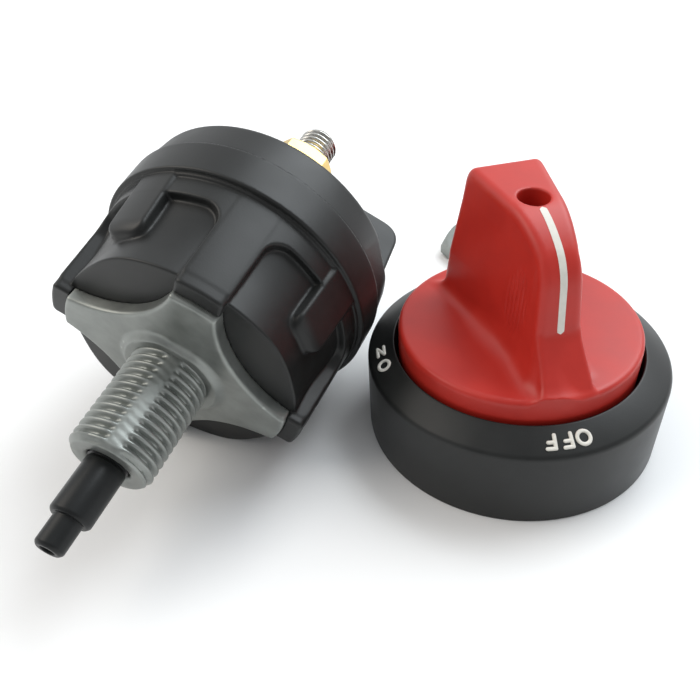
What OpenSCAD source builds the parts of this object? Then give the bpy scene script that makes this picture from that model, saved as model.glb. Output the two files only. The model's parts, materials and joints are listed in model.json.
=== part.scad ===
// Battery isolator switch as a kit: the switch unit lies on its side on its flange rim and
// one front block, and the dial ring with its red knob stands upright beside it.
// The origin is the centre of the dial ring's underside; +Z is up.

/* [Switch body] */
// Radius of the flange rim at its front edge
flange_r = 36.4; // [34:0.1:38]
// Thickness of the flange band
flange_t = 9.6; // [8:0.1:11]
// Depth of the rear cover's band
cover_t = 9.9; // [9:0.1:11]
// Distance from the flange's front edge to the bracket's seat
seat_z = 25.6; // [24:0.1:27]
// How far the four front blocks stand past the seat
block_rise = 2.2; // [1.5:0.1:3]
// Radius over the front blocks at their front faces
block_r = 33.2; // [32:0.1:34]
// Width of the four lands that run back from the blocks
land_w = 11.4; // [10:0.1:13]
// Width of the four screw posts between the lands
post_w = 12; // [10:0.1:13]

/* [Bracket and neck] */
// Thickness of the cast bracket plate
plate_t = 3.6; // [3:0.1:4.5]
// Radius of the bracket's four arms
plate_r = 28.8; // [27:0.1:29.5]
// Radius of the scoops between the arms
scoop_r = 28.6; // [26:0.1:31]
// Outer radius of the threaded neck
neck_r = 10; // [9:0.5:11]
// Length of the neck from the plate's front face
neck_l = 26.8; // [20:0.1:30]

/* [Spindle and contacts] */
// Radius of the spindle between the neck and the tip
spindle_r = 4.75; // [4.5:0.01:4.85]
// Radius of the spindle's tip
tip_r = 3.3; // [3:0.05:3.6]
// How far the contact bridge travels between off and on
bridge_travel = 2.9; // [2:0.1:3]
// Radius of the terminal studs
stud_r = 5; // [4:0.5:5]
// Distance of each stud from the axis
stud_off = 20; // [18:0.5:21]
// How far the studs stand out behind the cover
stud_l = 22.4; // [18:0.1:24]
// Width of the stud nuts across flats
nut_af = 17; // [16:0.5:18]

/* [Dial and knob] */
// Outer radius of the dial ring
dial_r = 37.5; // [35:0.5:40]
// Height of the dial ring at its outer edge
dial_h = 21.5; // [20:0.5:24]
// Height of the dial ring at its opening
dial_lip_h = 25.2; // [23:0.1:27]
// Radius of the dial's opening
dial_open_r = 30.6; // [30:0.1:32]
// Radius of the knob's disc
knob_r = 29.6; // [28:0.1:29.8]
// Height of the knob disc's rim
knob_rim_z = 30.3; // [29:0.1:32]
// Height of the knob's blade
knob_top_z = 65.2; // [62:0.1:70]
// Direction that the knob's pointer faces at rest, in degrees from +X
pointer_az = -80; // [-90:1:-70]

/* [Layout] */
// Place of the flange centre beside the dial, along X
switch_x = -71.3; // [-74:0.1:-71]
// Place of the flange centre beside the dial, along Y
switch_y = 15.1; // [10:0.1:18]
// Direction that the neck points, in degrees from +X
lie_heading = 244.2; // [240:0.1:248]
// Turn of the body about its own axis
lie_roll = -119.2; // [-122:0.1:-116]
// Place of the loose mounting nut behind the dial, along X and Y
nut_place = [10.6, 81.2];

/* [Hidden] */
$fn = 96;

black = [0.16, 0.16, 0.15];
red = [0.72, 0.17, 0.14];
zinc = [0.5, 0.53, 0.5];
brass = [0.9, 0.76, 0.36];
copper = [0.8, 0.45, 0.3];
steel = [0.7, 0.7, 0.72];
white = [0.9, 0.89, 0.85];
rubber = [0.08, 0.08, 0.08];

// Switch unit, in its own frame: +Z out of the neck, z = 0 at the flange's front edge,
// +X and -X through the divider's ends, +Y and -Y through the studs
cover_back = -flange_t - cover_t;
cover_wall = 3;
block_z = seat_z + block_rise;
flange_back_r = flange_r + 0.4;
land_back_r = 34.7;
panel_back_r = 32.4;
panel_front_r = 30.9;
arch_z = 5.7;
cavity_r = 27.5;
front_wall = 3.2;
wall_z = seat_z - front_wall;
plate_z = seat_z + plate_t;
neck_end = plate_z + neck_l;
scoop_off = 47.4;
collar_r = 13.2;
collar_h = 1.4;
spigot_r = 6.4;
post_back_r = 35.5;
post_r = 33.5;
post_front = 17;
post_slope = 3.5;
screw_ring = 30.5;
cover_screw_r = 1.95;
cover_screw_end = 12;
bracket_screw_ring = 22;
bracket_screw_r = 1.5;
divider_back = -46.7;
divider_t = 5;
divider_r = 33.4;
divider_end_r = 31.6;
divider_corner = 3.6;

// Moving pieces inside the housing
journal_r = 4.9;
stud_free_r = 4.95;
rivet_y = 6;
rivet_r = 2;
head_w = 16;
head_t = 4;
head_top = cover_back + cover_wall + head_t;
bridge_t = 4;
bridge_low = head_top + bridge_travel + 0.1;
bridge_l = 50.5;
bridge_w = 15;
carrier_low = bridge_low + bridge_t;
carrier_t = 3.5;
sleeve_r = 12;
drum_r = 9;
drum_low = 4;
drum_flange_r = 14;
drum_flange_low = 15;
drum_top = wall_z - 1.2;
pin_z = 8;
pin_r = 1.5;
slot_r = pin_r + 0.5;
slot_steps = 9;
ball_r = 1.75;
ball_ring = 11.5;
ball_z = wall_z - 1.4;
track_depth = 0.6;
spring_wire = 1;
spring_r = 15.6;
spring_turns = 6;
spindle_low = 1.5;
spindle_end = 76.3;
shoulder_z = 69.4;
clip_z = 2.6;
clip_t = 0.8;
seal_z = 50;

// Dial and knob
floor_t = 3;
neck_hole_r = 10.25;
dial_core_in = 32.8;
dial_core_out = 35;
dial_rib_count = 12;
knob_low = floor_t + 0.4;
skirt_wall = 2.6;
hub_r = 8.5;
hub_low = 10;
socket_r = 4.85;
socket_l = 12;
web_low = hub_low + socket_l + 6;
web_t = 4;
access_r = 3.75;
blade_w = 13;
roof_z = 64;
line_w = 1.6;
off_az = -84.2;
on_az = -175.8;
mark_step = 6.2;
on_step = 4.5;
mark_r = 34.2;
mark_h = 3.9;
mark_stroke = 0.9;
mark_rise = 0.2;

// The switch unit tips forward until a front block meets the table
block_corner = asin(land_w / 2 / block_r);
down_from_land = 29.2;
front_depth = block_r * cos(down_from_land - block_corner);
lie_tilt = atan2(flange_r - front_depth, block_z);
switch_z = flange_r * cos(lie_tilt);

module lying() {
    translate([switch_x, switch_y, switch_z])
        rotate([0, 90 + lie_tilt, lie_heading]) rotate([0, 0, lie_roll]) children();
}

module at_quarters(first = 0) {
    for (i = [0:3]) rotate([0, 0, first + 90 * i]) children();
}

module at_studs() {
    for (side = [-1, 1]) translate([0, side * stud_off, 0]) children();
}

module ring(outer, inner, low, high) {
    translate([0, 0, low]) difference() {
        cylinder(r = outer, h = high - low);
        translate([0, 0, -1]) cylinder(r = inner, h = high - low + 2);
    }
}

module hexagon(across, low, high) {
    translate([0, 0, low]) cylinder(r = across / 2 / cos(30), h = high - low, $fn = 6);
}

// ---- switch body

module land_bars(low, high, width) {
    for (turn = [0, 90]) rotate([0, 0, turn])
        translate([-flange_r, -width / 2, low]) cube([2 * flange_r, width, high - low]);
}

module housing() {
    color(black) lying() difference() {
        union() {
            translate([0, 0, -flange_t]) cylinder(r1 = flange_back_r, r2 = flange_r, h = flange_t);
            cylinder(r1 = panel_back_r, r2 = panel_front_r, h = seat_z);
            cylinder(r1 = land_back_r, r2 = land_back_r - 0.4, h = arch_z);
            intersection() {
                cylinder(r1 = land_back_r, r2 = block_r, h = block_z);
                land_bars(0, block_z, land_w);
            }
            intersection() {
                union() {
                    cylinder(r1 = post_back_r, r2 = post_r, h = post_front);
                    translate([0, 0, post_front])
                        cylinder(r1 = post_r, r2 = panel_front_r, h = post_slope);
                }
                rotate([0, 0, 45]) land_bars(0, post_front + post_slope, post_w);
            }
        }
        translate([0, 0, -flange_t - 1]) cylinder(r = cavity_r, h = wall_z + flange_t + 1);
        translate([0, 0, seat_z]) cylinder(r = plate_r + 0.15, h = plate_t);
        translate([0, 0, wall_z - 1]) cylinder(r = spigot_r + 0.1, h = front_wall + 2);
        ring(ball_ring + 1.9, ball_ring - 1.9, wall_z - 1, wall_z + track_depth);
        at_quarters() translate([bracket_screw_ring, 0, wall_z - 1])
            cylinder(r = bracket_screw_r + 0.05, h = front_wall + 2);
        at_quarters(45) translate([screw_ring, 0, -flange_t - 1])
            cylinder(r = cover_screw_r + 0.05, h = flange_t + cover_screw_end + 1.5);
    }
    color(black) lying() for (side = [0, 180], edge = [-1, 1]) rotate([0, 0, side])
        translate([23.5, edge * 4.4 - 1, -flange_t]) cube([cavity_r - 23.2, 2, 9]);
}

module bracket() {
    color(zinc) lying() difference() {
        union() {
            translate([0, 0, seat_z]) linear_extrude(plate_t) difference() {
                circle(r = plate_r);
                for (i = [0:3]) rotate(45 + 90 * i) translate([scoop_off, 0]) circle(r = scoop_r);
            }
            translate([0, 0, plate_z]) cylinder(r1 = collar_r, r2 = collar_r - 1.4, h = collar_h);
            translate([0, 0, plate_z]) cylinder(r = neck_r, h = neck_l - 0.8);
            translate([0, 0, neck_end - 0.8]) cylinder(r1 = neck_r, r2 = neck_r - 0.8, h = 0.8);
            translate([0, 0, wall_z + track_depth]) cylinder(r = spigot_r, h = front_wall);
        }
        translate([0, 0, wall_z - 1]) cylinder(r = journal_r + 0.06, h = neck_end);
        at_quarters() translate([bracket_screw_ring, 0, seat_z - 1])
            cylinder(r = bracket_screw_r + 0.05, h = 3.6);
    }
}

module rear_cover() {
    color(black) lying() difference() {
        union() {
            difference() {
                translate([0, 0, cover_back])
                    cylinder(r1 = flange_r - 1, r2 = flange_r - 0.1, h = cover_t);
                translate([0, 0, cover_back + cover_wall]) cylinder(r = 31.5, h = cover_t);
            }
            at_quarters(45) translate([screw_ring, 0, cover_back + 1])
                cylinder(r = 4.2, h = cover_t - 1.3);
            at_studs() translate([0, 0, cover_back - 0.4]) cylinder(r = 10.6, h = 1);
            divider();
        }
        at_quarters(45) translate([screw_ring, 0, cover_back - 1]) {
            cylinder(r = cover_screw_r + 0.05, h = cover_t + 2);
            cylinder(r = 3.8, h = 3.4);
        }
        at_studs() translate([0, 0, cover_back - 2]) cylinder(r = stud_r + 0.03, h = cover_wall + 3);
        ring(34.3, 33.1, -flange_t - 0.6, -flange_t + 1);
        for (side = [0, 180]) rotate([0, 0, 33 + side])
            translate([flange_r - 1.5, -20, cover_back - 1]) cube([5, 40, cover_t + 2]);
    }
}

// The wall between the terminals, with round outer corners
module divider() {
    rotate([90, 0, 0]) translate([0, 0, -divider_t / 2]) linear_extrude(divider_t) {
        polygon([[-divider_r, cover_back + 1], [divider_r, cover_back + 1],
                 [divider_end_r, divider_back + divider_corner],
                 [divider_end_r - divider_corner, divider_back],
                 [divider_corner - divider_end_r, divider_back],
                 [-divider_end_r, divider_back + divider_corner]]);
        for (side = [-1, 1])
            translate([side * (divider_end_r - divider_corner), divider_back + divider_corner])
                circle(r = divider_corner);
    }
}

module cover_gasket() {
    color(rubber) lying() ring(34.25, 33.15, -flange_t - 0.6, -flange_t);
}

module cover_screws() {
    color(steel) lying() at_quarters(45) translate([screw_ring, 0, 0]) {
        translate([0, 0, cover_back + 0.2]) difference() {
            cylinder(r = 3.6, h = 2.2);
            translate([0, 0, -1]) cylinder(r = 1.5, h = 2.2, $fn = 6);
        }
        translate([0, 0, cover_back + 2]) cylinder(r = cover_screw_r, h = cover_screw_end - cover_back - 2);
    }
}

module bracket_screws() {
    color(steel) lying() at_quarters() translate([bracket_screw_ring, 0, 0]) {
        translate([0, 0, wall_z - 2]) cylinder(r = 2.8, h = 2);
        translate([0, 0, wall_z - 1]) cylinder(r = bracket_screw_r, h = 6.4);
    }
}

module terminal_stud(side) {
    nut_low = nut_top - nut_h;
    color(copper) lying() translate([0, side * stud_off, 0]) difference() {
        union() {
            translate([-head_w / 2, -head_w / 2, cover_back + cover_wall])
                cube([head_w, head_w, head_t]);
            translate([0, 0, nut_low - 0.2]) cylinder(r = stud_r, h = head_top - nut_low);
            translate([0, 0, cover_back - stud_l + 0.8])
                cylinder(r = stud_free_r, h = stud_l - 0.8);
            translate([0, 0, cover_back - stud_l])
                cylinder(r1 = stud_free_r - 0.8, r2 = stud_free_r, h = 0.8);
        }
        ring(stud_r + 2, stud_free_r - 0.5, nut_low - 0.6, nut_low);
    }
}

washer_low = cover_back - 0.4;
washer_t = 1.6;
nut_top = washer_low - washer_t;
nut_h = 8;

module stud_washers() {
    color(brass) lying() at_studs() ring(8.8, stud_r + 0.2, nut_top, washer_low);
}

module stud_nuts() {
    color(brass) lying() at_studs() difference() {
        intersection() {
            hexagon(nut_af, nut_top - nut_h, nut_top);
            translate([0, 0, nut_top - nut_h])
                cylinder(r1 = nut_af / 2 + 0.2, r2 = nut_af / 2 + 0.2 + nut_h * 1.7, h = nut_h);
        }
        translate([0, 0, nut_top - nut_h - 1]) cylinder(r = stud_r + 0.02, h = nut_h + 2);
    }
}

// ---- spindle and its pieces

module spindle() {
    color(black) lying() difference() {
        union() {
            translate([0, 0, spindle_low]) cylinder(r = journal_r, h = neck_end - 0.2 - spindle_low);
            translate([0, 0, neck_end - 0.3]) cylinder(r = spindle_r, h = shoulder_z - neck_end - 0.2);
            translate([0, 0, shoulder_z - 0.5]) cylinder(r1 = spindle_r, r2 = spindle_r - 0.5, h = 0.5);
            translate([0, 0, shoulder_z - 1]) cylinder(r = tip_r, h = spindle_end - shoulder_z + 0.3);
            translate([0, 0, spindle_end - 0.7]) cylinder(r1 = tip_r, r2 = tip_r - 0.7, h = 0.7);
        }
        translate([0, 0, spindle_end - 9]) cylinder(r = 1.65, h = 10);
        ring(journal_r + 2, spindle_r - 0.4, neck_end - 0.3, neck_end + 0.3);
        ring(journal_r + 2, journal_r - 1.6, seal_z - 1.1, seal_z + 1.1);
        ring(journal_r + 2, journal_r - 0.9, clip_z - 0.05, clip_z + clip_t + 0.05);
        translate([0, 0, pin_z]) rotate([0, 90, 0])
            cylinder(r = pin_r + 0.02, h = 40, center = true);
    }
}

module cam_drum() {
    color([0.85, 0.83, 0.76]) lying() difference() {
        union() {
            translate([0, 0, drum_low]) cylinder(r = drum_r, h = drum_top - drum_low);
            translate([0, 0, drum_flange_low]) cylinder(r = drum_flange_r, h = drum_top - drum_flange_low);
        }
        translate([0, 0, drum_low - 1]) cylinder(r = journal_r + 0.03, h = drum_top);
        translate([0, 0, pin_z]) rotate([0, 90, 0])
            cylinder(r = pin_r + 0.02, h = 40, center = true);
        translate([ball_ring, 0, drum_flange_low + 1]) cylinder(r = ball_r + 0.05, h = 10);
    }
}

module drum_pin() {
    color(steel) lying() translate([0, 0, pin_z]) rotate([0, 90, 0])
        cylinder(r = pin_r, h = 2 * sleeve_r - 0.8, center = true);
}

module spindle_seal() {
    color(rubber) lying() translate([0, 0, seal_z]) rotate_extrude()
        translate([journal_r - 0.75, 0]) circle(r = 0.8, $fn = 24);
}

module thrust_washer() {
    color(brass) lying() ring(8.6, journal_r + 0.1, drum_top + 0.1, drum_top + 0.9);
}

module retaining_clip() {
    color(steel) lying() difference() {
        ring(7.4, journal_r - 0.85, clip_z, clip_z + clip_t);
        translate([0, -1.6, clip_z - 1]) cube([10, 3.2, clip_t + 2]);
    }
}

module detent_ball() {
    color(steel) lying() translate([ball_ring, 0, ball_z]) sphere(r = ball_r, $fn = 48);
}

module detent_spring() {
    color(steel) lying() translate([ball_ring, 0, 0])
        coil(1.2, 0.25, 3, drum_flange_low + 1.3, ball_z - ball_r - 0.3, 6, 10);
}

// ---- moving contact

module contact_bridge() {
    color(copper) lying() difference() {
        translate([-bridge_w / 2, -bridge_l / 2, bridge_low]) cube([bridge_w, bridge_l, bridge_t]);
        for (side = [-1, 1]) translate([0, side * rivet_y, bridge_low - 1])
            cylinder(r = rivet_r + 0.02, h = bridge_t + 2);
    }
}

module bridge_carrier() {
    color([0.75, 0.3, 0.22]) lying() difference() {
        union() {
            translate([0, 0, carrier_low]) cylinder(r = 21, h = carrier_t);
            translate([-26.8, -3, carrier_low]) cube([53.6, 6, carrier_t]);
            translate([0, 0, carrier_low]) cylinder(r = sleeve_r, h = drum_flange_low - 1 - carrier_low);
        }
        translate([0, 0, carrier_low + carrier_t]) cylinder(r = drum_r + 0.3, h = 40);
        for (side = [-1, 1]) translate([0, side * rivet_y, carrier_low - 1])
            cylinder(r = rivet_r + 0.02, h = carrier_t + 2);
        // Each slot climbs by the bridge's travel over a quarter turn, so turning the pin
        // drives the carrier towards the studs
        for (i = [0:slot_steps]) translate([0, 0, pin_z + bridge_travel * i / slot_steps])
            rotate([0, 90, -90 * i / slot_steps]) cylinder(r = slot_r, h = 40, center = true, $fn = 32);
    }
}

module bridge_rivets() {
    color(copper) lying() for (side = [-1, 1]) translate([0, side * rivet_y, 0]) {
        translate([0, 0, bridge_low]) cylinder(r = rivet_r, h = bridge_t + carrier_t + 0.1);
        translate([0, 0, carrier_low + carrier_t]) cylinder(r = 2.8, h = 1);
    }
}

// A closed wire coil that rises from low to high
module coil(coil_r, wire_r, turns, low, high, sides, steps) {
    rings = turns * steps;
    polyhedron(
        points = [for (i = [0:rings], j = [0:sides - 1])
            let (turn = 360 * turns * i / rings, a = 360 * j / sides)
            [(coil_r + wire_r * cos(a)) * cos(turn),
             (coil_r + wire_r * cos(a)) * sin(turn),
             low + (high - low) * i / rings + wire_r * sin(a)]],
        faces = concat(
            [[for (j = [0:sides - 1]) j]],
            [[for (j = [sides - 1:-1:0]) rings * sides + j]],
            [for (i = [0:rings - 1], j = [0:sides - 1])
                let (a = i * sides + j, b = i * sides + (j + 1) % sides)
                [a, a + sides, b + sides, b]]));
}

module contact_spring() {
    color(steel) lying() coil(spring_r, spring_wire, spring_turns,
        carrier_low + carrier_t + spring_wire + 0.1, wall_z - spring_wire - 0.1, 8, 14);
}

// ---- dial ring and knob, in the row's own frame

module dial_ring() {
    color(black) difference() {
        rotate_extrude() difference() {
            polygon([[neck_hole_r, 0], [dial_r, 0], [dial_r, dial_h - 0.6], [dial_r - 0.7, dial_h + 0.2],
                     [dial_open_r, dial_lip_h], [dial_open_r, floor_t], [neck_hole_r, floor_t]]);
        }
        difference() {
            ring(dial_core_out, dial_core_in, -1, dial_h - 3);
            for (i = [0:dial_rib_count - 1]) rotate([0, 0, i * 360 / dial_rib_count])
                translate([dial_core_in - 1, -1, -2]) cube([dial_core_out - dial_core_in + 2, 2, dial_h]);
        }
    }
}

face_slope = atan2(dial_lip_h - dial_h, dial_r - dial_open_r);

// Puts a flat mark, drawn round its own centre, on the sloping face at that direction
module on_dial(az, turn = 0) {
    face_z = dial_h + (dial_r - mark_r) * tan(face_slope);
    rotate([0, 0, az + 90]) translate([0, -mark_r, face_z]) rotate([face_slope, 0, 0])
        rotate([0, 0, 180 + turn]) translate([0, 0, -0.05]) linear_extrude(mark_rise + 0.05) children();
}

module letter_o() {
    difference() {
        circle(r = mark_h / 2, $fn = 48);
        circle(r = mark_h / 2 - mark_stroke, $fn = 48);
    }
}

module letter_f() {
    width = 2.7;
    translate([-width / 2, -mark_h / 2]) {
        square([mark_stroke, mark_h]);
        translate([0, mark_h - mark_stroke]) square([width, mark_stroke]);
        translate([0, mark_h / 2 - mark_stroke / 2]) square([width * 0.8, mark_stroke]);
    }
}

module letter_n() {
    half_w = 1.35;
    half_h = mark_h / 2;
    for (side = [-half_w, half_w - mark_stroke]) translate([side, -half_h]) square([mark_stroke, mark_h]);
    polygon([[-half_w, half_h], [-half_w + mark_stroke, half_h], [half_w, -half_h],
             [half_w - mark_stroke, -half_h]]);
}

// OFF follows the rim; ON stands as a column, upright when OFF is held at the top
module dial_marks() {
    color(white) {
        on_dial(off_az + mark_step) letter_o();
        on_dial(off_az) letter_f();
        on_dial(off_az - mark_step) letter_f();
        on_dial(on_az + on_step) letter_o();
        on_dial(on_az - on_step, 90) letter_n();
    }
}

// The blade lies along local X, with the pointer end at +X
module blade() {
    hull() {
        translate([-16.6, -8.2, knob_top_z - 2]) cube([1, 16.4, 1]);
        translate([-14.5, -6.6, knob_top_z - 1]) cube([1, 13.2, 1]);
        translate([-2, -blade_w / 2, roof_z - 1]) cube([3, blade_w, 1]);
        translate([9, -5.1, 60.4]) cube([1, 10.2, 1]);
        translate([15.6, -4.7, 56.2]) cube([1, 9.4, 1]);
        translate([18.5, -5.1, 41]) cube([1, 10.2, 1]);
        translate([-19.5, -10, 44]) cube([1, 20, 1]);
        translate([-21, -11, 31]) cube([1, 22, 1]);
        translate([20, -6, 31]) cube([1, 12, 1]);
    }
}

module blade_foot() {
    hull() {
        translate([-18.5, -10.2, 42]) cube([1, 20.4, 1]);
        translate([18, -6, 42]) cube([1, 12, 1]);
        translate([-25, -14, 29]) cube([1, 28, 1]);
        translate([26, -9.5, 29]) cube([1, 19, 1]);
    }
}

module knob() {
    color(red) rotate([0, 0, pointer_az]) difference() {
        union() {
            rotate_extrude() polygon([[0, knob_low], [knob_r, knob_low], [knob_r, knob_rim_z - 2],
                                      [knob_r - 0.6, knob_rim_z - 0.7], [knob_r - 2, knob_rim_z],
                                      [20, knob_rim_z - 1.3], [8, knob_rim_z + 3], [0, knob_rim_z + 3]]);
            blade();
            blade_foot();
        }
        difference() {
            translate([0, 0, knob_low - 1]) cylinder(r = knob_r - skirt_wall, h = knob_rim_z - 4 - knob_low);
            cylinder(r = hub_r, h = 60);
            for (turn = [0, 60, 120]) rotate([0, 0, turn]) translate([-30, -1, hub_low + 4]) cube([60, 2, 40]);
        }
        translate([0, 0, -1]) cylinder(r = hub_r + 1, h = hub_low + 1);
        translate([0, 0, hub_low - 1]) cylinder(r = socket_r, h = socket_l + 1);
        translate([0, 0, hub_low]) cylinder(r = tip_r + 0.06, h = socket_l + 6);
        translate([0, 0, hub_low]) cylinder(r = 2.2, h = 40);
        translate([0, 0, web_low + web_t]) cylinder(r = access_r, h = 60);
    }
}

module pointer_line() {
    color(white) rotate([0, 0, pointer_az]) translate([0, -line_w / 2, 0]) {
        hull() {
            translate([4.2, 0, 62.2]) cube([1, line_w, 0.9]);
            translate([8.8, 0, 60.7]) cube([1, line_w, 0.9]);
        }
        hull() {
            translate([9.2, 0, 60.5]) cube([1, line_w, 0.9]);
            translate([15, 0, 56.7]) cube([1, line_w, 0.8]);
        }
        hull() {
            translate([15.7, 0, 56.2]) cube([1.1, line_w, 0.8]);
            translate([18.6, 0, 41]) cube([1.1, line_w, 0.8]);
        }
    }
}

module knob_screw() {
    head_z = web_low + web_t;
    color(steel) {
        translate([0, 0, head_z]) difference() {
            cylinder(r = 3.5, h = 3);
            translate([0, 0, 1.4]) cylinder(r = 1.6, h = 3, $fn = 6);
        }
        translate([0, 0, head_z - 9]) cylinder(r = 2, h = 9.5);
    }
}

module mounting_nut() {
    across = 30;
    height = 5.5;
    color(zinc) translate([nut_place[0], nut_place[1], 0]) difference() {
        intersection() {
            hexagon(across, 0, height);
            cylinder(r1 = across / 2 + 0.3, r2 = across / 2 + 0.3 + height * 1.7, h = height);
            cylinder(r1 = across / 2 + 0.3 + height * 1.7, r2 = across / 2 + 0.3, h = height);
        }
        translate([0, 0, -1]) cylinder(r = neck_r + 0.05, h = height + 2);
    }
}

housing();
bracket();
rear_cover();
cover_gasket();
cover_screws();
bracket_screws();
terminal_stud(-1);  // terminal_stud_a
terminal_stud(1);  // terminal_stud_b
stud_washers();
stud_nuts();
contact_spring();
spindle();
cam_drum();
drum_pin();
spindle_seal();
thrust_washer();
retaining_clip();
detent_ball();
detent_spring();
contact_bridge();
bridge_carrier();
bridge_rivets();
dial_ring();
dial_marks();
knob();
pointer_line();
knob_screw();
mounting_nut();
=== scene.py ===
import json
from math import atan2, cos, pi, radians, sin, tan

import bpy
import numpy as np
from mathutils import Matrix, Vector


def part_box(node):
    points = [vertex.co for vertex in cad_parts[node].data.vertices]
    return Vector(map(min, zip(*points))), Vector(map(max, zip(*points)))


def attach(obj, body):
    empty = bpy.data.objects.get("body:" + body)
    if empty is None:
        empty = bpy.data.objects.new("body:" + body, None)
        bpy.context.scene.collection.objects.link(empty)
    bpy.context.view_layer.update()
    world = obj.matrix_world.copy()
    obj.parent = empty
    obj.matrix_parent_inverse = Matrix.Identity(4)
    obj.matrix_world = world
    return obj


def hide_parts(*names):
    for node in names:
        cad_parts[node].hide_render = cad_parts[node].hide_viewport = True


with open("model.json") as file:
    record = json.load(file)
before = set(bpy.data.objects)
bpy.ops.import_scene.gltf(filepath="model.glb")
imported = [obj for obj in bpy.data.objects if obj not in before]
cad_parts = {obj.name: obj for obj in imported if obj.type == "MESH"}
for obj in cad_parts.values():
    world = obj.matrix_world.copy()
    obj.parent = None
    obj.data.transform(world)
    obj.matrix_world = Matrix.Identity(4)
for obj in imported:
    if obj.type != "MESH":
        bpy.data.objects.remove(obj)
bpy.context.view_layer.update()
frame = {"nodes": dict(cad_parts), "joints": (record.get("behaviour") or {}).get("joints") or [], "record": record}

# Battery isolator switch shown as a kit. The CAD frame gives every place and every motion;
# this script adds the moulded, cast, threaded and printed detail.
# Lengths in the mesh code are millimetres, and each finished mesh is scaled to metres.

TAU = 2 * pi
MM = 0.001

# ---------------------------------------------------------------- frames of reference

record = frame["record"]
joints = {joint["name"]: joint for joint in frame["joints"]}
mounts = {mount["name"]: mount for mount in record["mounts"]}


def switch_matrix():
    """The switch unit's own frame: +Z out of the neck, +Y from stud a to stud b, z = 0 at the
    front edge of the flange."""
    turn = joints["spindle_turn"]
    out = -Vector(turn["axis"]).normalized()
    studs = Vector(mounts["stud_b"]["pos_m"]) - Vector(mounts["stud_a"]["pos_m"])
    up = studs.normalized()
    side = up.cross(out)
    columns = Matrix((side, up, out)).transposed().to_4x4()
    return Matrix.Translation(Vector(turn["pos_m"])) @ columns


def knob_matrix():
    """The knob's own frame: +X along the pointer, +Z up the dial's axis."""
    low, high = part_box("pointer_line")
    middle = (low + high) / 2
    return Matrix.Rotation(atan2(middle.y, middle.x), 4, "Z")


SWITCH = switch_matrix()
KNOB = knob_matrix()
DIAL = Matrix.Identity(4)

# ---------------------------------------------------------------- mesh helpers


def piece(name, points, faces, finish, body, place, crease=40):
    """Makes a smooth-shaded mesh from points in millimetres and lets it ride on a body."""
    mesh = bpy.data.meshes.new(name)
    mesh.from_pydata(np.asarray(points, float).tolist(), [], faces)
    mesh.transform(place @ Matrix.Scale(MM, 4))
    mesh.polygons.foreach_set("use_smooth", [True] * len(mesh.polygons))
    mesh.set_sharp_from_angle(angle=radians(crease))
    mesh.materials.append(materials[finish])
    made = bpy.data.objects.new(name, mesh)
    bpy.context.scene.collection.objects.link(made)
    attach(made, body)
    return made


def loft(loops, wrap=False):
    """Points and faces of a skin through equal loops. It ends in flat caps unless it wraps."""
    loops = np.asarray(loops, float)
    count, size = loops.shape[:2]
    points = loops.reshape(-1, 3)
    faces = []
    for i in range(count if wrap else count - 1):
        here = i * size
        there = (i + 1) % count * size
        for j in range(size):
            k = (j + 1) % size
            faces.append((here + j, here + k, there + k, there + j))
    if not wrap:
        faces.append(tuple(range(size - 1, -1, -1)))
        faces.append(tuple(range((count - 1) * size, count * size)))
    return points, faces


def joined(*parts):
    """Several (points, faces) pairs as one."""
    points = []
    faces = []
    for some_points, some_faces in parts:
        base = len(points)
        points.extend(np.asarray(some_points, float).tolist())
        faces.extend(tuple(base + i for i in face) for face in some_faces)
    return points, faces


def rounded(corners, steps=5):
    """A closed outline from (across, along, radius) corners, with each corner rounded off."""
    outline = []
    total = len(corners)
    for i, (across, along, radius) in enumerate(corners):
        corner = np.array([across, along], float)
        before = np.array(corners[i - 1][:2], float) - corner
        after = np.array(corners[(i + 1) % total][:2], float) - corner
        if radius == 0:
            outline.append(corner)
            continue
        reach = min(radius, 0.45 * np.hypot(*before), 0.45 * np.hypot(*after))
        start = corner + before / np.hypot(*before) * reach
        end = corner + after / np.hypot(*after) * reach
        for t in np.linspace(0, 1, steps):
            outline.append((1 - t) ** 2 * start + 2 * t * (1 - t) * corner + t ** 2 * end)
    return np.array(outline)


def ring_angles(sides):
    return np.arange(sides) * TAU / sides


def circle_at(radius, z, angles):
    """A ring of points. The radius may change round the ring."""
    reach = np.broadcast_to(radius, angles.shape)
    return np.stack([reach * np.cos(angles), reach * np.sin(angles), np.full(len(angles), z)], 1)


def lathe(corners, sides=160, steps=5):
    """Turns a closed (radius, height, rounding) outline about Z."""
    outline = rounded(corners, steps)
    angles = ring_angles(sides)
    loops = [circle_at(radius, z, angles) for radius, z in outline]
    return loft(loops[::-1], wrap=True)


def sweep(path, radius, flat=1.0, sides=12, closed=False):
    """A rod of round or flattened section along a path that lies in a plane of constant z.
    Open rods end in half balls."""
    path = np.asarray(path, float)
    if closed:
        along = np.roll(path, -1, 0) - np.roll(path, 1, 0)
        widths = np.full(len(path), radius)
    else:
        first = path[0] - path[1]
        last = path[-1] - path[-2]
        first /= np.linalg.norm(first)
        last /= np.linalg.norm(last)
        reach = np.array([0.98, 0.85, 0.6, 0.3])
        head = path[0] + np.outer(reach * radius, first)
        tail = path[-1] + np.outer(reach[::-1] * radius, last)
        thin = radius * np.sqrt(1 - reach ** 2)
        path = np.vstack([head, path, tail])
        widths = np.concatenate([thin, np.full(len(path) - 8, radius), thin[::-1]])
        along = np.gradient(path, axis=0)
    along /= np.linalg.norm(along, axis=1)[:, None]
    across = np.stack([-along[:, 1], along[:, 0], np.zeros(len(path))], 1)
    angles = ring_angles(sides)
    loops = []
    for centre, side, width in zip(path, across, widths):
        ring = centre + np.outer(np.cos(angles) * width, side)
        ring[:, 2] += np.sin(angles) * width * flat
        loops.append(ring)
    return loft(loops, wrap=closed)


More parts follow.
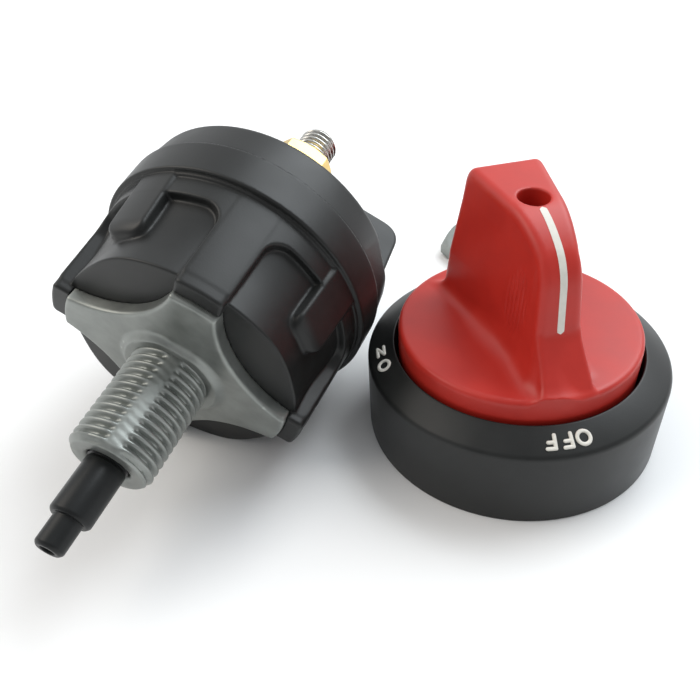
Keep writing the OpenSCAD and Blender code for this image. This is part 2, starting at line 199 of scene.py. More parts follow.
def slab(low, high, edge=0.3):
    """A box with its upright edges and its ends eased."""
    (x0, y0, z0), (x1, y1, z1) = low, high
    outline = rounded([(x0, y0, edge), (x1, y0, edge), (x1, y1, edge), (x0, y1, edge)], 4)
    middle = np.array([(x0 + x1) / 2, (y0 + y1) / 2])
    loops = []
    for z, inset in ((z0, edge), (z0 + edge, 0), (z1 - edge, 0), (z1, edge)):
        shrink = 1 - 2 * inset / np.array([x1 - x0, y1 - y0])
        flat = middle + (outline - middle) * shrink
        loops.append(np.column_stack([flat, np.full(len(flat), z)]))
    return loft(loops)


# ---------------------------------------------------------------- solids from distance fields


def soft_min(a, b, reach):
    """The smaller of two fields, blended where they come within reach of each other."""
    near = np.maximum(reach - np.abs(a - b), 0) / reach
    return np.minimum(a, b) - near * near * reach / 4


def soft_max(a, b, reach):
    return -soft_min(-a, -b, reach)


def smoothstep(low, high, value):
    t = np.clip((value - low) / (high - low), 0, 1)
    return t * t * (3 - 2 * t)


def settle(points, field, step, rounds=3):
    """Moves points on to the field's zero surface."""
    nudge = step * 0.05
    for _ in range(rounds):
        slope = np.zeros_like(points)
        for axis in range(3):
            ahead = points.copy()
            behind = points.copy()
            ahead[:, axis] += nudge
            behind[:, axis] -= nudge
            slope[:, axis] = (field(*ahead.T) - field(*behind.T)) / (2 * nudge)
        steep = np.maximum((slope ** 2).sum(1), 0.3)
        move = slope * (field(*points.T) / steep)[:, None]
        length = np.linalg.norm(move, axis=1)
        move *= np.minimum(1, 0.5 * step / np.maximum(length, 1e-9))[:, None]
        points = points - move
    return points


def surface_net(field, low, high, step):
    """Points and faces of the field's zero surface inside a box, one point in each grid cell
    that the surface crosses."""
    axes = [np.arange(low[i] - 2 * step, high[i] + 3 * step, step) for i in range(3)]
    value = field(*np.meshgrid(*axes, indexing="ij"))
    cells = [len(axis) - 1 for axis in axes]
    total = cells[0] * cells[1] * cells[2]
    hits = np.zeros(total)
    sums = np.zeros((3, total))
    quads = []
    for axis in range(3):
        u = (axis + 1) % 3
        v = (axis + 2) % 3
        start = [slice(None)] * 3
        end = [slice(None)] * 3
        start[axis] = slice(0, -1)
        end[axis] = slice(1, None)
        a = value[tuple(start)]
        b = value[tuple(end)]
        edges = np.argwhere((a < 0) != (b < 0))
        at_a = a[tuple(edges.T)]
        at_b = b[tuple(edges.T)]
        spots = edges.astype(float)
        spots[:, axis] += at_a / (at_a - at_b)
        around = []
        for du, dv in ((0, 0), (1, 0), (1, 1), (0, 1)):
            cell = edges.copy()
            cell[:, u] -= du
            cell[:, v] -= dv
            flat = np.ravel_multi_index(cell.T, cells)
            around.append(flat)
            hits += np.bincount(flat, minlength=total)
            for i in range(3):
                sums[i] += np.bincount(flat, weights=spots[:, i], minlength=total)
        around = np.array(around).T
        around[at_a >= 0] = around[at_a >= 0][:, ::-1]
        quads.append(around)
    used = np.nonzero(hits)[0]
    index = np.zeros(total, int)
    index[used] = np.arange(len(used))
    origin = np.array([axis[0] for axis in axes])
    points = origin + (sums[:, used] / hits[used]).T * step
    return settle(points, field, step), index[np.vstack(quads)].tolist()


# ---------------------------------------------------------------- materials


def node(tree, kind, **inputs):
    made = tree.nodes.new(kind)
    for name, value in inputs.items():
        made.inputs[name.replace("_", " ")].default_value = value
    return made


def spread(tree, source, low, high, start=0.3, end=0.7):
    """Stretches a noise value from start..end to low..high."""
    made = node(tree, "ShaderNodeMapRange")
    made.inputs["From Min"].default_value = start
    made.inputs["From Max"].default_value = end
    made.inputs["To Min"].default_value = low
    made.inputs["To Max"].default_value = high
    tree.links.new(source, made.inputs["Value"])
    return made.outputs["Result"]


def blend_colours(tree, factor, dark, light):
    made = tree.nodes.new("ShaderNodeMix")
    made.data_type = "RGBA"
    made.inputs["A"].default_value = (*dark, 1)
    made.inputs["B"].default_value = (*light, 1)
    tree.links.new(factor, made.inputs["Factor"])
    return made.outputs["Result"]


def make_material(name, dark, light, rough, metal=0.0, patch=70, grain=2600, relief=0.15,
                  depth=0.00004, worn=None, specular=0.5):
    """A moulded, cast or machined finish: cloudy colour, uneven gloss, fine relief and paler
    edges."""
    made = bpy.data.materials.new(name)
    made.use_nodes = True
    tree = made.node_tree
    shader = tree.nodes["Principled BSDF"]
    shader.inputs["Metallic"].default_value = metal
    shader.inputs["Specular IOR Level"].default_value = specular
    place = tree.nodes.new("ShaderNodeTexCoord").outputs["Object"]
    clouds = node(tree, "ShaderNodeTexNoise", Scale=patch, Detail=4.0, Roughness=0.55)
    fine = node(tree, "ShaderNodeTexNoise", Scale=grain, Detail=2.0, Roughness=0.5)
    tree.links.new(place, clouds.inputs["Vector"])
    tree.links.new(place, fine.inputs["Vector"])
    colour = blend_colours(tree, spread(tree, clouds.outputs["Fac"], 0, 1), dark, light)
    if worn:
        edge = tree.nodes.new("ShaderNodeNewGeometry").outputs["Pointiness"]
        wear = node(tree, "ShaderNodeMix")
        wear.data_type = "RGBA"
        wear.inputs["B"].default_value = (*worn, 1)
        tree.links.new(spread(tree, edge, 0, 0.6, 0.52, 0.62), wear.inputs["Factor"])
        tree.links.new(colour, wear.inputs["A"])
        colour = wear.outputs["Result"]
    tree.links.new(colour, shader.inputs["Base Color"])
    tree.links.new(spread(tree, clouds.outputs["Fac"], rough[0], rough[1]), shader.inputs["Roughness"])
    bump = node(tree, "ShaderNodeBump", Strength=relief, Distance=depth)
    tree.links.new(fine.outputs["Fac"], bump.inputs["Height"])
    tree.links.new(bump.outputs["Normal"], shader.inputs["Normal"])
    return made


materials = {
    "black_plastic": make_material("black_plastic", (0.0095, 0.010, 0.0098), (0.016, 0.017, 0.0165),
                                   (0.34, 0.44), relief=0.3, specular=0.34),
    "red_plastic": make_material("red_plastic", (0.43, 0.020, 0.013), (0.52, 0.027, 0.017),
                                 (0.36, 0.46), relief=0.15, specular=0.4),
    "zinc": make_material("zinc", (0.21, 0.224, 0.212), (0.30, 0.315, 0.30), (0.34, 0.48), 0.7,
                          patch=160, grain=1500, relief=0.35, worn=(0.42, 0.44, 0.41)),
    "brass": make_material("brass", (0.66, 0.46, 0.15), (0.78, 0.57, 0.22), (0.26, 0.38), 1.0,
                           patch=300, relief=0.2),
    "copper": make_material("copper", (0.60, 0.26, 0.14), (0.72, 0.36, 0.21), (0.25, 0.38), 1.0,
                            patch=200, relief=0.2),
    "steel": make_material("steel", (0.48, 0.47, 0.44), (0.62, 0.61, 0.58), (0.18, 0.32), 1.0,
                           patch=400, relief=0.2),
    "black_steel": make_material("black_steel", (0.007, 0.008, 0.008), (0.012, 0.013, 0.0135),
                                 (0.30, 0.42), relief=0.2, specular=0.25),
    "spring_steel": make_material("spring_steel", (0.30, 0.30, 0.31), (0.42, 0.42, 0.43),
                                  (0.25, 0.38), 1.0, patch=500, relief=0.15),
    "rubber": make_material("rubber", (0.010, 0.010, 0.010), (0.018, 0.018, 0.018), (0.7, 0.85),
                            relief=0.4, grain=1800),
    "white_print": make_material("white_print", (0.66, 0.64, 0.58), (0.74, 0.72, 0.66),
                                 (0.45, 0.6), patch=500, relief=0.2),
    "ivory_plastic": make_material("ivory_plastic", (0.58, 0.53, 0.42), (0.68, 0.63, 0.52),
                                   (0.35, 0.48), relief=0.1),
    "brown_plastic": make_material("brown_plastic", (0.07, 0.022, 0.014), (0.11, 0.036, 0.022),
                                   (0.38, 0.52), relief=0.2),
}

# ---------------------------------------------------------------- floor, light and camera


def make_floor():
    half = 3.0
    count = 12
    ticks = np.linspace(-half, half, count)
    points = [(x, y, 0) for y in ticks for x in ticks]
    faces = [(j * count + i, j * count + i + 1, (j + 1) * count + i + 1, (j + 1) * count + i)
             for j in range(count - 1) for i in range(count - 1)]
    mesh = bpy.data.meshes.new("floor")
    mesh.from_pydata(points, [], faces)
    mesh.materials.append(make_material("floor", (0.89, 0.89, 0.89), (0.92, 0.92, 0.92),
                                        (0.75, 0.9), patch=12, grain=900, relief=0.05))
    floor = bpy.data.objects.new("floor", mesh)
    bpy.context.scene.collection.objects.link(floor)


def area_light(name, spot, aim, size, power, tint=(1, 1, 1)):
    lamp = bpy.data.lights.new(name, "AREA")
    lamp.shape = "RECTANGLE"
    lamp.size, lamp.size_y = size
    lamp.energy = power
    lamp.color = tint
    made = bpy.data.objects.new(name, lamp)
    made.location = spot
    made.rotation_mode = "QUATERNION"
    made.rotation_quaternion = (Vector(aim) - Vector(spot)).to_track_quat("-Z", "Y")
    bpy.context.scene.collection.objects.link(made)


def make_lights():
    world = bpy.data.worlds.new("studio")
    world.use_nodes = True
    background = world.node_tree.nodes["Background"]
    background.inputs["Color"].default_value = (0.96, 0.98, 1.0, 1)
    tree = world.node_tree
    direction = tree.nodes.new("ShaderNodeTexCoord").outputs["Generated"]
    split = tree.nodes.new("ShaderNodeSeparateXYZ")
    tree.links.new(direction, split.inputs["Vector"])
    strength = spread(tree, split.outputs["Y"], 0.36, 1.0, -0.9, 0.7)
    tree.links.new(strength, background.inputs["Strength"])
    bpy.context.scene.world = world
    area_light("key", (0.55, 0.40, 0.85), (-0.02, 0.0, 0.02), (0.8, 0.8), 10.0, (0.90, 0.96, 1.0))
    area_light("fill", (-0.75, 0.05, 0.8), (-0.03, 0.0, 0.03), (0.7, 0.7), 4.0, (1.0, 0.92, 0.82))


def make_camera():
    pitch = radians(39.24)
    roll = radians(-3.95)
    ahead = Vector((0, cos(pitch), -sin(pitch)))
    level_up = Vector((0, sin(pitch), cos(pitch)))
    level_right = Vector((1, 0, 0))
    right = cos(roll) * level_right + sin(roll) * level_up
    up = cos(roll) * level_up - sin(roll) * level_right
    lens = bpy.data.cameras.new("camera")
    lens.lens = 36
    lens.sensor_width = 36
    lens.clip_start = 0.01
    lens.clip_end = 20
    camera = bpy.data.objects.new("camera", lens)
    turn = Matrix((right, up, -ahead)).transposed().to_4x4()
    camera.matrix_world = Matrix.Translation((-0.04198, -0.13645, 0.13617)) @ turn
    bpy.context.scene.collection.objects.link(camera)
    bpy.context.scene.camera = camera


make_floor()
make_lights()
make_camera()
bpy.context.scene.view_settings.view_transform = "Standard"

# ---------------------------------------------------------------- switch housing

FLANGE_R = 36.4
FLANGE_DRAFT = 0.04
FLANGE_T = 9.6
LIP_R = 35.1
LIP_Z = 0.6
SHELL_BACK_R = 34.5
SHELL_DRAFT = 1.4 / 27.8
SEAT_Z = 25.6
BLOCK_Z = 27.8
LAND_HALF = 5.5
LAND_DRAFT = 0.02
ARCH_Z = 5.8
ARCH_CORNER = 5.0
FLOOR_BACK_R = 32.0
FLOOR_DISH = 0.9
FLOOR_FRONT_R = 32.0
FLOOR_FRONT_FALL = 2.0
POST_HALF = 5.5
POST_CORNER = 3.6
POST_FRONT = 17.4
POST_NOSE = 1.5
POST_BACK_R = 35.35
POST_DRAFT = 0.115
POST_FRONT_R = 33.5
CAVITY_R = 27.5
CAVITY_Z = 22.4
PLATE_POCKET_R = 28.95
SPIGOT_R = 6.45
FINE = 0.34


def round_corner(over_a, over_b, radius):
    """The field of two walls that meet at a corner of that radius."""
    a = over_a + radius
    b = over_b + radius
    return np.hypot(np.maximum(a, 0), np.maximum(b, 0)) + np.minimum(np.maximum(a, b), 0) - radius


def housing_field(x, y, z):
    r = np.hypot(x, y)
    far = np.maximum(np.abs(x), np.abs(y))
    aside = np.minimum(np.abs(x), np.abs(y))
    diagonal = (np.abs(x) - np.abs(y)) / np.sqrt(2)
    from_studs = np.degrees(np.arctan2(np.abs(x), np.abs(y)))
    flange_side = r - (FLANGE_R - FLANGE_DRAFT * z)
    flange = soft_max(soft_max(flange_side, z, 0.6), -z - FLANGE_T, 0.4)
    lip = soft_max(r - LIP_R, z - LIP_Z, 0.3)
    shell_side = r - (SHELL_BACK_R - SHELL_DRAFT * z)
    # Each quarter has a pocket between two lands, with round back corners
    land_edge = LAND_HALF + LAND_DRAFT * (SEAT_Z - z) - aside
    pocket_outline = round_corner(land_edge, ARCH_Z - z, ARCH_CORNER)
    front_r = FLOOR_FRONT_R - FLOOR_FRONT_FALL * smoothstep(30, 64, from_studs)
    along = np.clip((z - ARCH_Z) / (SEAT_Z - ARCH_Z), 0, 1)
    floor_r = FLOOR_BACK_R + (front_r - FLOOR_BACK_R) * along - FLOOR_DISH * np.sin(pi * along)
    pocket = soft_max(pocket_outline, floor_r - r, 0.5)
    shell = soft_max(soft_max(shell_side, z - SEAT_Z, 1.6), -pocket, 0.5)
    # A screw post with a blunt round nose stands in the middle of each pocket
    post_r = POST_BACK_R - POST_DRAFT * z
    post_end = (z - POST_FRONT) * 0.8 + (r - POST_FRONT_R) * 0.6
    post_outline = round_corner(np.abs(diagonal) - POST_HALF, z - POST_FRONT - POST_NOSE, POST_CORNER)
    post = soft_max(post_outline, r - post_r, 0.9)
    post = soft_max(post, post_end, 2.2)
    block = soft_max(soft_max(aside - LAND_HALF, shell_side, 1.2), z - BLOCK_Z, 0.8)
    block = np.maximum(block, PLATE_POCKET_R - r)
    outside = soft_min(soft_min(shell, post, 0.7), soft_min(flange, lip, 0.3), 0.3)
    outside = soft_min(outside, block, 0.3)
    outside = np.maximum(outside, -z - FLANGE_T)
    inside = np.maximum(r - CAVITY_R, z - CAVITY_Z)
    plate_pocket = np.maximum(r - PLATE_POCKET_R, SEAT_Z - z)
    return np.maximum(np.maximum(outside, -inside), np.maximum(-plate_pocket, SPIGOT_R - r))


def make_housing():
    step = FINE
    points, faces = surface_net(housing_field, (-37, -37, -FLANGE_T), (37, 37, BLOCK_Z), step)
    made = piece("housing_body", points, faces, "black_plastic", "switch", SWITCH, 50)
    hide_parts("housing")


# ---------------------------------------------------------------- rear cover and divider

COVER_BACK = -19.5
COVER_BACK_R = 35.4
COVER_DRAFT = 0.09
COVER_BORE_R = 31.5
COVER_WALL = 3.0
COVER_FACET = 34.9
SCREW_RING = 30.5
SCREW_HOLE_R = 2.05
SCREW_HEAD_R = 3.8
BOSS_R = 4.2
BOSS_MIDDLE = -14.6
BOSS_HALF = 4.3
PAD_R = 10.6
PAD_RISE = 0.4
STUD_HOLE_R = 5.1
DIVIDER_R = 33.4
DIVIDER_LEAN = 0.066
DIVIDER_HALF = 2.5
FACET_AT = radians(33)
DIVIDER_BACK = -46.7
STUD_OFF = 20.0


def cover_field(x, y, z):
    r = np.hypot(x, y)
    side = r - (COVER_BACK_R + (z - COVER_BACK) * COVER_DRAFT)
    facet = np.abs(x * cos(FACET_AT) + y * sin(FACET_AT)) - COVER_FACET
    band = soft_max(soft_max(side, facet, 0.3), z + FLANGE_T, 0.3)
    band = soft_max(band, COVER_BACK - z, 1.6)
    hollow = soft_max(r - COVER_BORE_R, COVER_BACK + COVER_WALL - z, 0.8)
    band = np.maximum(band, -hollow)
    screw_at = SCREW_RING / np.sqrt(2)
    screw = np.hypot(np.abs(x) - screw_at, np.abs(y) - screw_at)
    boss = soft_max(screw - BOSS_R, np.abs(z - BOSS_MIDDLE) - BOSS_HALF, 0.4)
    stud = np.hypot(x, np.abs(y) - STUD_OFF)
    pad = soft_max(stud - PAD_R, np.abs(z - COVER_BACK) - PAD_RISE, 0.4)
    # The divider: an upright wall whose ends lean in, with round outer corners
    lean = np.abs(x) - (DIVIDER_R + (z - COVER_BACK) * DIVIDER_LEAN)
    wall = soft_max(lean, DIVIDER_BACK - z, 6.0)
    wall = soft_max(wall, np.abs(y) - DIVIDER_HALF, 0.9)
    wall = np.maximum(wall, z - COVER_BACK - 2)
    solid = soft_min(soft_min(band, pad, 0.5), wall, 1.6)
    solid = np.minimum(solid, boss)
    counterbore = soft_max(screw - SCREW_HEAD_R, z - COVER_BACK - 2.4, 0.3)
    holes = np.minimum(np.minimum(screw - SCREW_HOLE_R, counterbore), stud - STUD_HOLE_R)
    return soft_max(solid, -holes, 0.3)


def make_cover():
    step = 0.4
    low = (-37, -37, DIVIDER_BACK)
    points, faces = surface_net(cover_field, low, (37, 37, -FLANGE_T), step)
    made = piece("cover_body", points, faces, "black_plastic", "switch", SWITCH, 50)
    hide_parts("rear_cover")


# ---------------------------------------------------------------- bracket and threaded neck

PLATE_Z = 29.2
ARM_R = 28.8
SCOOP_AT = 47.4
SCOOP_R = 28.6
COLLAR_R = 13.3
COLLAR_FLAT = 12.7
COLLAR_Z = 30.6
NECK_R = 10.0
NECK_END = 56.0
NECK_PITCH = 2.0
NECK_DEPTH = 1.05
BORE_R = 4.96
SPIGOT_OUTER_R = 6.4
SPIGOT_LOW = 23.0
STRIP_HALF = 12
STRIP_DEPTH = 0.28


def bracket_field(x, y, z):
    r = np.hypot(x, y)
    corner = SCOOP_AT / np.sqrt(2)
    scoop = SCOOP_R - np.hypot(np.abs(x) - corner, np.abs(y) - corner)
    outline = soft_max(r - ARM_R, scoop, 0.3)
    plate = soft_max(outline, z - PLATE_Z, 0.9)
    plate = np.maximum(plate, SEAT_Z - z)
    slope = (z - PLATE_Z) * 0.9
    collar = soft_max(r - COLLAR_R + slope, np.abs(y) - COLLAR_FLAT + slope, 0.3)
    collar = soft_max(collar, z - COLLAR_Z, 0.35)
    collar = np.maximum(collar, SEAT_Z - z)
    spigot = np.maximum(r - SPIGOT_OUTER_R, np.maximum(SPIGOT_LOW - z, z - PLATE_Z))
    whole = np.minimum(soft_min(plate, collar, 0.9), spigot)
    return np.maximum(whole, BORE_R - r)


def thread(angle, z, major, pitch, depth):
    """Radius of a right-handed thread with soft crests."""
    phase = (z / pitch - angle / TAU) % 1.0
    ridge = 1 - np.abs(2 * phase - 1)
    return major - depth * (1 - smoothstep(0.0, 0.86, ridge))


def neck_mesh():
    angles = ring_angles(144)
    loops = []
    degrees_from_strip = np.abs(np.degrees(np.arccos(np.clip(np.abs(np.sin(angles)), 0, 1))))
    strip = 1 - smoothstep(STRIP_HALF - 4, STRIP_HALF + 6, degrees_from_strip)
    for z in np.arange(PLATE_Z - 1, NECK_END, NECK_PITCH / 9):
        cut = thread(angles, z, NECK_R, NECK_PITCH, NECK_DEPTH)
        rubbed = NECK_R - STRIP_DEPTH + 0.05 * np.sin(z * 2.3 + 0.7) * np.cos(angles * 9 + z)
        radius = cut + (rubbed - cut) * strip
        radius = np.minimum(radius, NECK_R - 1.3 + (NECK_END - z) * 1.0)
        loops.append(circle_at(radius, z, angles))
    # The flat end face, then the bore back down to the plate
    for radius, z in ((8.55, NECK_END), (8.0, NECK_END), (5.9, NECK_END), (5.6, NECK_END - 0.2),
                      (BORE_R, NECK_END - 0.9), (BORE_R, 45.0), (BORE_R, PLATE_Z - 1)):
        loops.append(circle_at(radius, z, angles))
    return loft(loops, wrap=True)


def make_bracket():
    step = 0.36
    plate = surface_net(bracket_field, (-29, -29, SPIGOT_LOW), (29, 29, COLLAR_Z), step)
    points, faces = joined(plate, neck_mesh())
    made = piece("bracket_casting", points, faces, "zinc", "switch", SWITCH, 50)
    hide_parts("bracket")


# ---------------------------------------------------------------- studs, nuts and washers

STUD_R = 5.0
STUD_END = -41.9
NUT_REAR = -29.5
NUT_FRONT = -21.5
NUT_FLATS = 17.0
WASHER_FRONT = -19.9
WASHER_R = 8.8


def rod(angles, rings):
    """A closed rod through (radius or radii, z) rings."""
    return loft([circle_at(radius, z, angles) for radius, z in rings])


def stud_mesh():
    angles = ring_angles(72)
    pitch = 1.5
    rings = []
    for z in np.arange(STUD_END, COVER_BACK + 5, pitch / 8):
        radius = thread(angles, z, STUD_R, pitch, 0.75)
        chamfer = STUD_R - 1.2 + (z - STUD_END) * 0.9
        rings.append((np.minimum(radius, chamfer), z))
    head = slab((-8, -8, COVER_BACK + 3), (8, 8, COVER_BACK + 7), 0.5)
    return joined(rod(angles, rings), head)


def hexagon_radius(angles, flats):
    wedge = angles % (pi / 3) - pi / 6
    return flats / 2 / np.cos(wedge)


def nut_mesh(flats, low, high, bore, pitch, sides=144):
    """A hexagon nut, chamfered at both faces, with a threaded bore."""
    angles = ring_angles(sides)
    outline = hexagon_radius(angles, flats)
    inset = flats / 2 + 0.15
    loops = []
    heights = np.linspace(0, 1, 9) ** 1.5 * (flats * 0.085)
    outer = [(low + h, h) for h in heights] + [(high - h, h) for h in heights[::-1]]
    loops.append((np.full(sides, inset - 0.5), low))
    for z, h in outer:
        loops.append((np.minimum(outline, inset + h * 1.75), z))
    loops.append((np.full(sides, inset - 0.5), high))
    loops.append((np.full(sides, bore + 0.7), high))
    for z in np.arange(high - 0.7, low + 0.7, -pitch / 6):
        loops.append((bore - 0.02 + thread(angles, z, 0.0, pitch, 0.35) + 0.35, z))
    loops.append((np.full(sides, bore + 0.7), low))
    return loft([circle_at(radius, z, angles) for radius, z in loops], wrap=True)


def moved(shape, offset):
    """The shape, carried along by an offset."""
    points, faces = shape
    return np.asarray(points, float) + np.asarray(offset, float), faces


def make_terminals():
    stud = stud_mesh()
    for letter, side in (("a", -1), ("b", 1)):
        points, faces = moved(stud, (0, side * STUD_OFF, 0))
        made = piece(f"stud_{letter}_threaded", points, faces, "steel", "switch", SWITCH)
        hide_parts(f"terminal_stud_{letter}")
    nut = nut_mesh(NUT_FLATS, NUT_REAR, NUT_FRONT, STUD_R + 0.05, 1.5)
    washer = lathe([(STUD_R + 0.2, NUT_FRONT, 0.1), (WASHER_R, NUT_FRONT, 0.3),
                    (WASHER_R, WASHER_FRONT, 0.3), (STUD_R + 0.2, WASHER_FRONT, 0.1)], 96)
    for name, shape, node_name in (("terminal_nuts", nut, "stud_nuts"),
                                   ("terminal_washers", washer, "stud_washers")):
        pair = joined(moved(shape, (0, -STUD_OFF, 0)), moved(shape, (0, STUD_OFF, 0)))
        made = piece(name, *pair, "brass", "switch", SWITCH)
        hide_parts(node_name)


# ---------------------------------------------------------------- spindle and contact spring

SPINDLE_END = 76.3
SHOULDER_Z = 69.4
COIL_R = 15.6
COIL_TURNS = 6
COIL_LOW = 3.15
COIL_HIGH = 21.25


def make_spindle():
    shape = lathe([(0.02, 1.5, 0), (4.4, 1.5, 0), (4.9, 2.0, 0.2), (4.9, 2.5, 0), (4.0, 2.55, 0),
                   (4.0, 3.45, 0), (4.9, 3.5, 0), (4.9, 48.9, 0), (3.3, 48.95, 0),
                   (3.3, 51.05, 0), (4.9, 51.1, 0), (4.9, 55.6, 0.1), (4.4, 55.75, 0.1),
                   (4.4, 56.25, 0.1), (4.75, 56.4, 0.1), (4.75, SHOULDER_Z - 0.7, 0.3),
                   (4.15, SHOULDER_Z, 0.25), (3.3, SHOULDER_Z, 0.2), (3.3, SPINDLE_END - 0.7, 0.3),
                   (2.6, SPINDLE_END, 0.25), (1.75, SPINDLE_END, 0.2), (1.65, SPINDLE_END - 0.3, 0.1),
                   (1.65, SPINDLE_END - 8.6, 0.2), (0.02, SPINDLE_END - 9, 0)], 120, 4)
    made = piece("spindle_turned", *shape, "black_steel", "spindle_set", SWITCH)
    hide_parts("spindle")


def make_spring():
    steps = np.linspace(0, 1, COIL_TURNS * 32 + 1)
    angles = steps * COIL_TURNS * TAU
    centres = np.stack([COIL_R * np.cos(angles), COIL_R * np.sin(angles),
                        COIL_LOW + (COIL_HIGH - COIL_LOW) * steps], 1)
    around = ring_angles(12)
    loops = []
    for centre, angle in zip(centres, angles):
        out = np.array([cos(angle), sin(angle), 0])
        ring = centre + np.outer(np.cos(around), out)
        ring[:, 2] += np.sin(around)
        loops.append(ring)
    made = piece("contact_coil", *loft(loops), "spring_steel", "bridge_set", SWITCH)
    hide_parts("contact_spring")


# ---------------------------------------------------------------- dial ring and its lettering

DIAL_R = 37.5
DIAL_H = 21.5
OPEN_R = 30.6
LIP_H = 25.2
FACE_SLOPE = atan2(LIP_H - DIAL_H, DIAL_R - OPEN_R)
LETTER_R = 34.2
LETTER_H = 3.9
STROKE = 0.45
RELIEF = 0.3


def make_dial():
    ring = lathe([(10.25, 0, 0.3), (32.8, 0, 0.2), (32.8, 18.5, 0.4), (35.0, 18.5, 0.4),
                  (35.0, 0, 0.2), (DIAL_R, 0, 0.5), (DIAL_R, DIAL_H - 0.1, 1.1),
                  (OPEN_R, LIP_H, 0.7), (OPEN_R, 3, 0.8), (10.25, 3, 0.4)], 240, 6)
    ribs = []
    for i in range(12):
        turn = Matrix.Rotation(i * TAU / 12, 3, "Z")
        points, faces = slab((32.5, -1, 0.2), (35.3, 1, 18.8))
        ribs.append(([turn @ Vector(p) for p in points], faces))
    made = piece("dial_moulding", *joined(ring, *ribs), "black_plastic", "dial", DIAL)
    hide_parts("dial_ring")


def letter_strokes(letter):
    """Centre lines of the strokes of a plain letter, drawn round its middle."""
    top = LETTER_H / 2 - STROKE
    if letter == "O":
        angles = ring_angles(40)
        return [np.stack([top * 0.97 * np.cos(angles), top * np.sin(angles), angles * 0], 1)]
    if letter == "F":
        left = -1.35 + STROKE
        right = 1.35 - STROKE
        return [[(left, -top, 0), (left, 0, 0), (left, top, 0)],
                [(left, top, 0), (0, top, 0), (right, top, 0)],
                [(left, 0.1, 0), (0, 0.1, 0), (right - 0.35, 0.1, 0)]]
    left = -1.35 + STROKE
    return [[(left, -top, 0), (left, 0, 0), (left, top, 0)],
            [(left, top, 0), (0, 0, 0), (-left, -top, 0)],
            [(-left, -top, 0), (-left, 0, 0), (-left, top, 0)]]


def on_dial(azimuth, turn):
    """Where a letter lies on the sloping face, as the CAD marks do."""
    height = DIAL_H + (DIAL_R - LETTER_R) * tan(FACE_SLOPE)
    place = Matrix.Rotation(radians(azimuth + 90), 4, "Z")
    place = place @ Matrix.Translation((0, -LETTER_R, height))
    place = place @ Matrix.Rotation(FACE_SLOPE, 4, "X")
    return place @ Matrix.Rotation(radians(180 + turn), 4, "Z")


def make_lettering():
    parts = []
    for letter, azimuth, turn in (("O", -78.0, 0), ("F", -84.2, 0), ("F", -90.4, 0),
                                  ("O", -171.3, 90), ("N", 179.7, 90)):
        place = on_dial(azimuth, turn)
        for path in letter_strokes(letter):
            points, faces = sweep(path, STROKE, RELIEF / STROKE, 12, closed=letter == "O")
            parts.append(([place @ Vector(p) for p in points], faces))
    made = piece("dial_lettering", *joined(*parts), "white_print", "dial", DIAL, 60)
    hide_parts("dial_marks")


# ---------------------------------------------------------------- knob and its pointer line

KNOB_R = 29.6
RIM_Z = 30.3
ROOF_Z = 64.0
ROOF_CURVE = 0.0264
ROOF_RISE = 0.06
NOSE_X = 17.3
NOSE_Z = 57
NOSE_LEAN = 0.16
BACK_X = 17.3
BACK_Z = 65
BACK_LEAN = 0.1
SPLAY = 0.15
FLARE_SLOPE = 1.16
FLARE_END = 28.6
FLARE_HALF = 5.2
FLARE_TOP = 42
BLADE_HALF = 4.7
ACCESS_R = 3.6
WEB_TOP = 32.0
KNOB_LOW = 3.4
SKIRT_R = 27.0
SKIRT_TOP = 26.0
HUB_R = 8.5
HUB_LOW = 10
RIB_HALF = 1.0
SOCKET_R = 4.85
SOCKET_TOP = 22
TIP_HOLE_R = 3.36
TIP_HOLE_TOP = 28
BOLT_HOLE_R = 2.2


def grip_lines(x, z):
    """Depth of the fine upright lines in a crescent on each side of the blade."""
    reach = np.hypot((x - 9.5) / 4.2, (z - 43.5) / 9.5)
    return 0.11 * (1 - smoothstep(0.8, 1.0, reach)) * (1 + np.cos(x * TAU / 1.3))


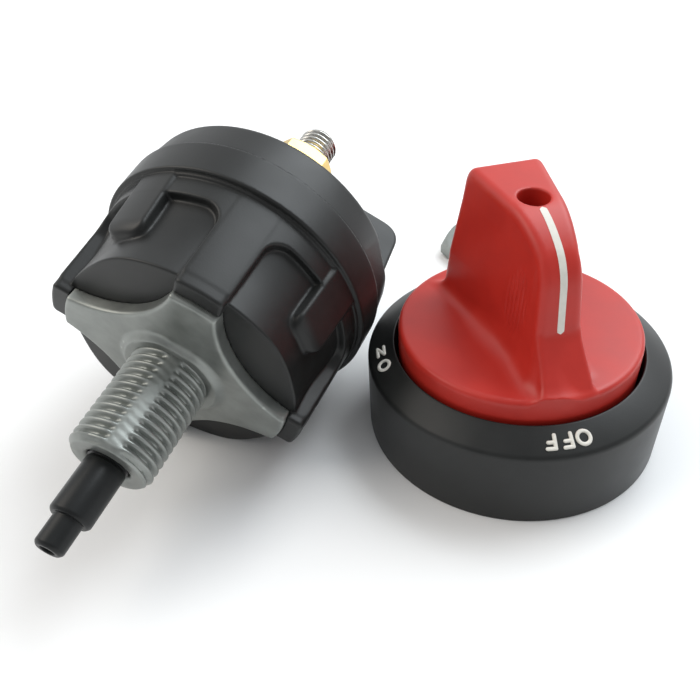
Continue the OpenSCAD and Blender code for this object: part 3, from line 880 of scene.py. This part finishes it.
def knob_field(x, y, z):
    r = np.hypot(x, y)
    disc = soft_max(r - KNOB_R, z - RIM_Z, 1.5)
    # The blade is a wedge: narrow at the pointer's end, wider and more splayed at the back
    splay = SPLAY + 0.0026 * np.clip(ROOF_Z - z, 0, 22)
    half = BLADE_HALF + splay * np.maximum(14 - x, 0) + 0.04 * np.clip(NOSE_Z - z, 0, 27)
    side = (np.abs(y) - half + grip_lines(x, z)) / 1.02
    roof = (z - ROOF_Z + ROOF_CURVE * np.maximum(x, 0) ** 2 + ROOF_RISE * np.minimum(x, 0)) / 1.15
    front = (x - NOSE_X - NOSE_LEAN * (NOSE_Z - z)) / 1.013
    back = (-BACK_X - BACK_LEAN * (BACK_Z - z) - x) / 1.005
    blade = soft_max(soft_max(roof, front, 3.4), back, 2.6)
    blade = soft_max(blade, side, 2.2)
    # The front runs out to the rim between the two pads
    ramp = (z - RIM_Z - FLARE_SLOPE * (FLARE_END - x)) / 1.53
    flare = soft_max(ramp, np.abs(y) - FLARE_HALF - 0.08 * (x - 20.4), 1.2)
    flare = soft_max(soft_max(flare, np.maximum(z - FLARE_TOP, -x), 2.0), r - KNOB_R, 1.5)
    # One side sweeps softly into its pad; the other meets it at a tight corner
    soft_side = (1 - smoothstep(-3, 3, y)) * smoothstep(-10, 6, x)
    outside = soft_min(disc, blade, 3.4 + 2.4 * soft_side)
    outside = soft_min(outside, flare, 0.9 + 4.0 * soft_side * (1 - smoothstep(33, 41, z)))
    outside = np.maximum(np.maximum(outside, r - KNOB_R), KNOB_LOW - z)
    hole = soft_max(r - ACCESS_R, WEB_TOP - z, 0.6)
    outside = soft_max(outside, -hole, 0.4)
    # Underneath: a skirt, a hub with a stepped socket and three crossed ribs
    rib = np.minimum(np.abs(y), np.minimum(np.abs(y * 0.5 + x * 0.866), np.abs(y * 0.5 - x * 0.866)))
    rib = np.maximum(rib - RIB_HALF, HUB_LOW + 4 - z)
    hub = np.maximum(r - HUB_R, HUB_LOW - z)
    inside = soft_max(soft_max(r - SKIRT_R, z - SKIRT_TOP, 1.5), -np.minimum(rib, hub), 0.5)
    socket = np.maximum(r - SOCKET_R, z - SOCKET_TOP)
    tip = np.maximum(r - TIP_HOLE_R, z - TIP_HOLE_TOP)
    bolt = np.maximum(r - BOLT_HOLE_R, z - 40)
    cuts = np.minimum(np.minimum(inside, socket), np.minimum(tip, bolt))
    return np.maximum(outside, -cuts)


def make_knob():
    step = FINE
    points, faces = surface_net(knob_field, (-30, -30, KNOB_LOW), (30, 30, 66), step)
    made = piece("knob_moulding", points, faces, "red_plastic", "knob_set", KNOB, 50)
    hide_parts("knob")


def make_pointer():
    """A narrow inlaid stripe that follows the roof and turns down the blade's front."""
    guide = np.array([(4.2, 63.4), (8, 62.2), (12, 60), (15, 57.8), (17, 54.5), (18.2, 49),
                      (19.6, 41)])
    distance = np.concatenate([[0], np.cumsum(np.hypot(*np.diff(guide, axis=0).T))])
    marks = np.linspace(0, distance[-1], 60)
    spine = np.stack([np.interp(marks, distance, guide[:, 0]), marks * 0,
                      np.interp(marks, distance, guide[:, 1])], 1)
    half = 0.8
    ends = np.minimum(marks, distance[-1] - marks)
    widths = half * np.sqrt(np.clip(1 - np.clip(1 - ends / half, 0, 1) ** 2, 0.02, 1))
    loops = []
    for centre, width in zip(spine, widths):
        across = np.linspace(-width, width, 7)
        row = np.tile(centre, (7, 1))
        row[:, 1] = across
        top = settle(row, lambda x, y, z: knob_field(x, y, z) - 0.07, 0.8, 8)
        under = settle(row, lambda x, y, z: knob_field(x, y, z) + 0.4, 0.8, 8)
        loops.append(np.vstack([top, under[::-1]]))
    made = piece("pointer_stripe", *loft(loops), "white_print", "knob_set", KNOB, 60)
    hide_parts("pointer_line")


# ---------------------------------------------------------------- loose mounting nut


def make_loose_nut():
    low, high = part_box("mounting_nut")
    middle = (low + high) / 2 / MM
    top = high.z / MM
    points, faces = moved(nut_mesh(30.0, 0.0, top, NECK_R + 0.1, NECK_PITCH), (middle.x, middle.y, 0))
    made = piece("mounting_nut_cast", points, faces, "zinc", "loose_nut", DIAL)
    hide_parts("mounting_nut")


make_housing()
make_cover()
make_bracket()
make_terminals()
make_spindle()
make_spring()
make_dial()
make_lettering()
make_knob()
make_pointer()
make_loose_nut()

# ---------------------------------------------------------------- CAD nodes that stay

slots = {part["node"]: part["material_slot"] for part in record["subparts"]}
for name, cad_node in frame["nodes"].items():
    cad_node.data.materials.clear()
    cad_node.data.materials.append(materials[slots[name]])
